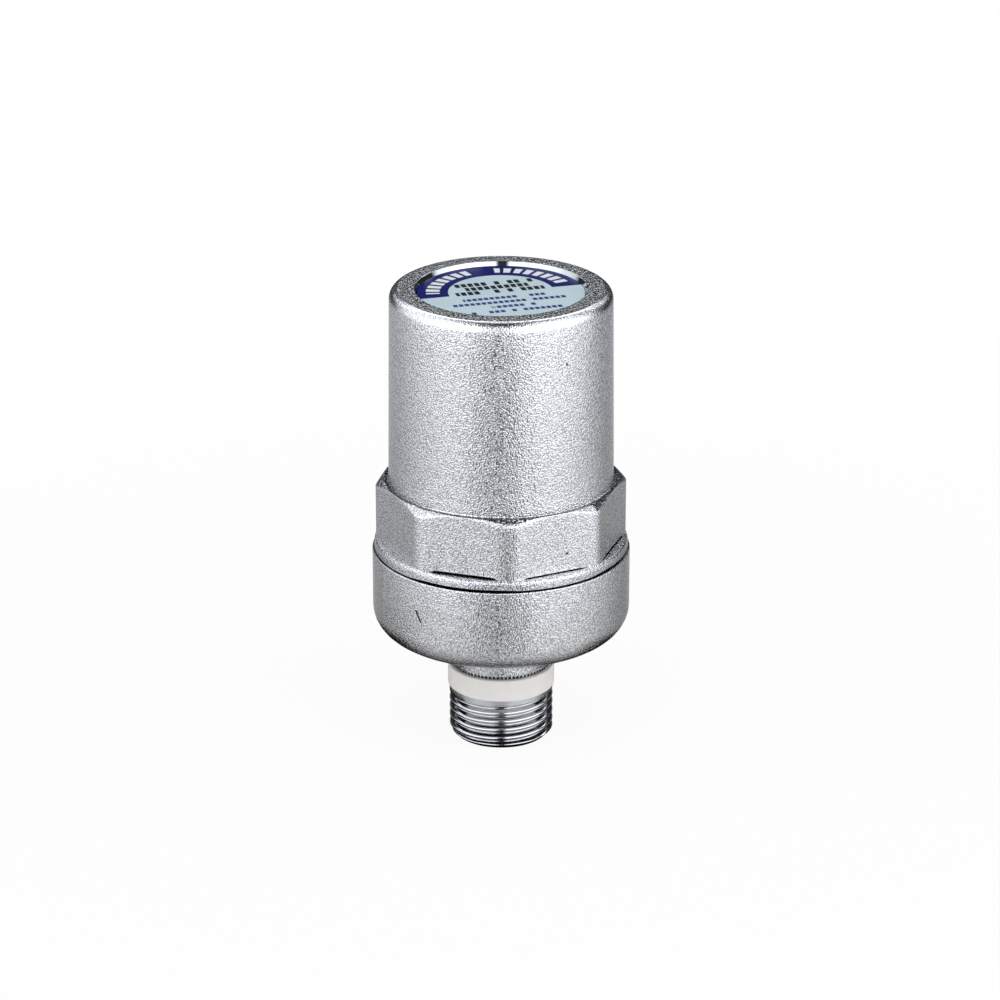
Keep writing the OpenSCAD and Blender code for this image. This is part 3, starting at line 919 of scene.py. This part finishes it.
def makeDome():
    # tall white panels to the left and right, a dark gap between them and a dark back
    material, wire, glow = glowMaterial("domePanels", 1.0)
    place = wire.add("Mapping", {}, {
        "Vector": wire.add("TexCoord", out="Object"), "Location": (0, 0, -studio["domeZ"]),
        "Rotation": (0, 0, -math.radians(studio["front"])),
    })
    side, depth, up = wire.add("VectorMath", {"operation": "NORMALIZE"}, {0: place}).split()

    def towards(level, target, mask):
        return level + mask * (target - level)

    right = side.over(*panels["rightFrom"])
    level = panels["left"] + (panels["right"] - panels["left"]) * right
    level = towards(level, level * panels["high"], up.over(*panels["highFrom"]))
    level = towards(level, level * panels["table"], 1 - up.over(*panels["tableTo"]))
    level = towards(level, level * panels["floorLift"], 1 - up.over(*panels["floorTo"]))
    level = towards(level, level * panels["under"], 1 - up.over(*panels["underTo"]))
    fade = panels["fadeLeft"] + (panels["fadeRight"] - panels["fadeLeft"]) * right
    away = (depth - panels["fadeFrom"] - panels["fadeShift"] * right) / panels["fadeSpan"]
    level = level * (1 - fade * away.clip())
    behind = panels["behind"] + panels["behindLift"] * (1 - up.over(*panels["liftTo"]))
    level = towards(level, behind, depth.over(*panels["behindFrom"]) * (1 - up.over(*panels["behindTo"])))
    half = panels["gapHalf"] - panels["gapNarrow"] * up.over(*panels["narrowFrom"])
    gap = side.within(panels["gapSide"], half, panels["gapSoft"]) * (1 - depth.over(*panels["gapDepth"]))
    gap = gap * up.over(*panels["gapFrom"]) * (1 - up.over(*panels["gapTo"]))
    level = towards(level, panels["gap"], gap)
    crown = side.within(*panels["crownSide"]) * up.over(*panels["crownFrom"])
    level = towards(level, panels["rear"], crown)
    rear = (depth - panels["rearLeft"] * (1 - right)).over(*panels["rearFrom"])
    level = towards(level, panels["rear"], rear * up.over(*panels["rearLow"]))
    strip = depth.within(*panels["stripDepth"]) * up.over(*panels["stripFrom"])
    level = towards(level, panels["strip"], strip)
    shine = up.over(*panels["tintFrom"]).tint(panels["lowTint"], panels["highTint"]).scaled(level)
    wire.tree.links.new(shine.socket, glow.inputs["Color"])
    bm = bmesh.new()
    bmesh.ops.create_icosphere(
        bm, subdivisions=studio["domeFineness"], radius=studio["domeRadius"],
        matrix=Matrix.Translation((0, 0, studio["domeZ"])),
    )
    onlyMirrored("mirrorDome", bm, material)


def makeShadowPatch(name, first, last, outer):
    # a dark patch of floor by the thread, as the metal mirrors it
    material, _, _ = glowMaterial(name, studio["shadowLevel"])
    bm = bmesh.new()
    near = bm.verts.new((studio["shadowInner"], 0, studio["shadowZ"]))
    far = bm.verts.new((outer, 0, studio["shadowZ"]))
    strip = bm.edges.new((near, far))
    bmesh.ops.spin(
        bm, geom=[near, far, strip], cent=(0, 0, 0), axis=(0, 0, 1), angle=math.radians(last - first),
        steps=studio["shadowSteps"], use_merge=False, use_duplicate=False,
    )
    start = math.radians(first + studio["front"] - 90)
    bmesh.ops.rotate(bm, verts=bm.verts[:], cent=(0, 0, 0), matrix=Matrix.Rotation(start, 3, "Z"))
    onlyMirrored(name, bm, material)


def aimFrom(thing, target, azimuth, elevation, distance):
    # azimuth 0 is in front of the object, 90 to its right
    a = math.radians(azimuth)
    e = math.radians(elevation)
    back = Vector((math.sin(a) * math.cos(e), -math.cos(a) * math.cos(e), math.sin(e)))
    thing.location = target + back * distance
    thing.rotation_mode = "QUATERNION"
    thing.rotation_quaternion = (-back).to_track_quat("-Z", "Y")


def makeLamp(name, azimuth, elevation, size, power):
    data = bpy.data.lights.new(name, "AREA")
    data.shape = "RECTANGLE"
    data.size, data.size_y = size
    data.energy = power
    lamp = addObject(name, data)
    aimFrom(lamp, Vector((0, 0, studio["domeZ"])), azimuth, elevation, studio["lampDistance"])
    lamp.visible_camera = False
    lamp.visible_glossy = False  # the metal mirrors the dome instead


makeWorld()
makeFloor()
makeDome()
for shadow in studio["shadows"]:
    makeShadowPatch(*shadow)
for lampRow in studio["lamps"]:
    makeLamp(*lampRow)
print("studio: world, floor, dome and lamps made")


# camera at the photograph's angle

view = {
    "azimuth": -4.3, "elevation": 21.4, "distance": 0.8, "aimZ": 50.13, "aimLeft": 0.22,
    "lens": 144.23, "sensor": 36,
}


def makeCamera():
    data = bpy.data.cameras.new("camera")
    data.sensor_width = view["sensor"]
    data.lens = view["lens"]
    camera = addObject("camera", data)
    turn = math.radians(view["azimuth"])
    aside = Vector((math.cos(turn), math.sin(turn), 0))
    target = (Vector((0, 0, view["aimZ"])) - aside * view["aimLeft"]) * mm
    aimFrom(camera, target, view["azimuth"], view["elevation"], view["distance"])
    bpy.context.scene.camera = camera


makeCamera()
bpy.context.scene.view_settings.view_transform = "Standard"
print("camera made")
